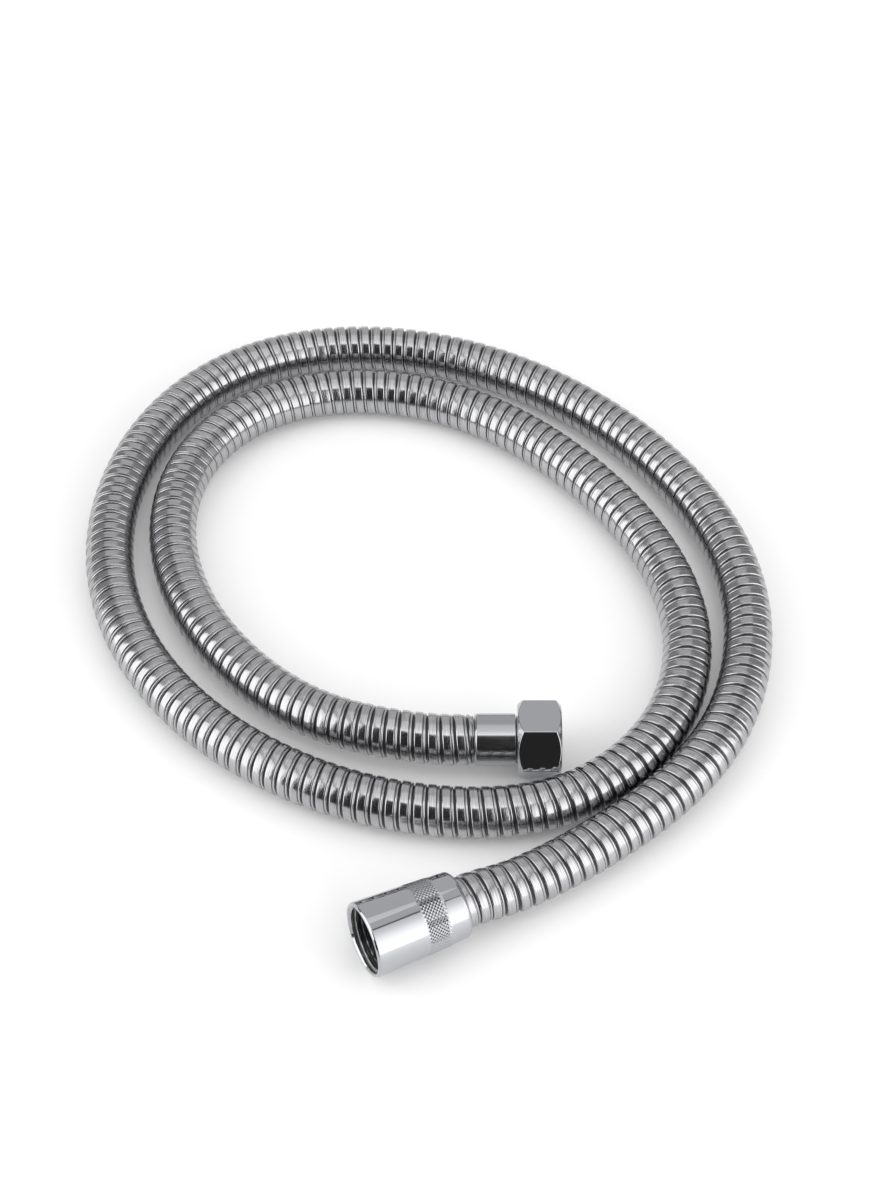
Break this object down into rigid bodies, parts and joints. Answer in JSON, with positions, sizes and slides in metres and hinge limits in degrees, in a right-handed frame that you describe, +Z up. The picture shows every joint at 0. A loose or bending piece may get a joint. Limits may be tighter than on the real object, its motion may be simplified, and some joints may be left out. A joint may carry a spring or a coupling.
{
  "type": "shower hose",
  "caption": "Strip-wound metal shower hose lying in a flat spiral, with a hexagon nut on one end and a knurled cone nut on the other, over a rubber inner tube.",
  "frame": {"origin": "centre of the laid-out hose's outline, on the table it lies on", "axes": "+Z up from the table; the hexagon nut's axis points along +X out of its mouth; the picture looks along +Y and down"},
  "size_m": [0.2293, 0.2715, 0.0239],
  "materials": {
    "hose_strip": "polished interlocked strip, lightly drawn",
    "tube_rubber": "matte",
    "nut_chrome": "mirror chrome on brass",
    "ferrule_chrome": "bright chrome, lightly drawn",
    "insert_plating": "satin chrome on turned brass",
    "washer_rubber": "matte"
  },
  "bodies": {
    "hose": {"outer_hose": "hose_strip", "inner_tube": "tube_rubber", "hex_end_ferrule": "ferrule_chrome", "hex_end_insert": "insert_plating", "cone_end_ferrule": "ferrule_chrome", "cone_end_insert": "insert_plating"},
    "hex_nut": {"hex_nut": "nut_chrome", "hex_end_washer": "washer_rubber"},
    "cone_nut": {"cone_nut": "nut_chrome", "cone_end_washer": "washer_rubber"}
  },
  "joints": [
    {"name": "hex_nut_spin", "type": "hinge", "parent": "hose", "child": "hex_nut", "pos_m": [0.0433, -0.0528, 0.01168], "axis": [1, 0, 0], "continuous": true},
    {"name": "cone_nut_spin", "type": "hinge", "parent": "hose", "child": "cone_nut", "pos_m": [-0.0165, -0.1253, 0.01239], "axis": [-0.8935, -0.4436, 0.0698], "continuous": true}
  ]
}
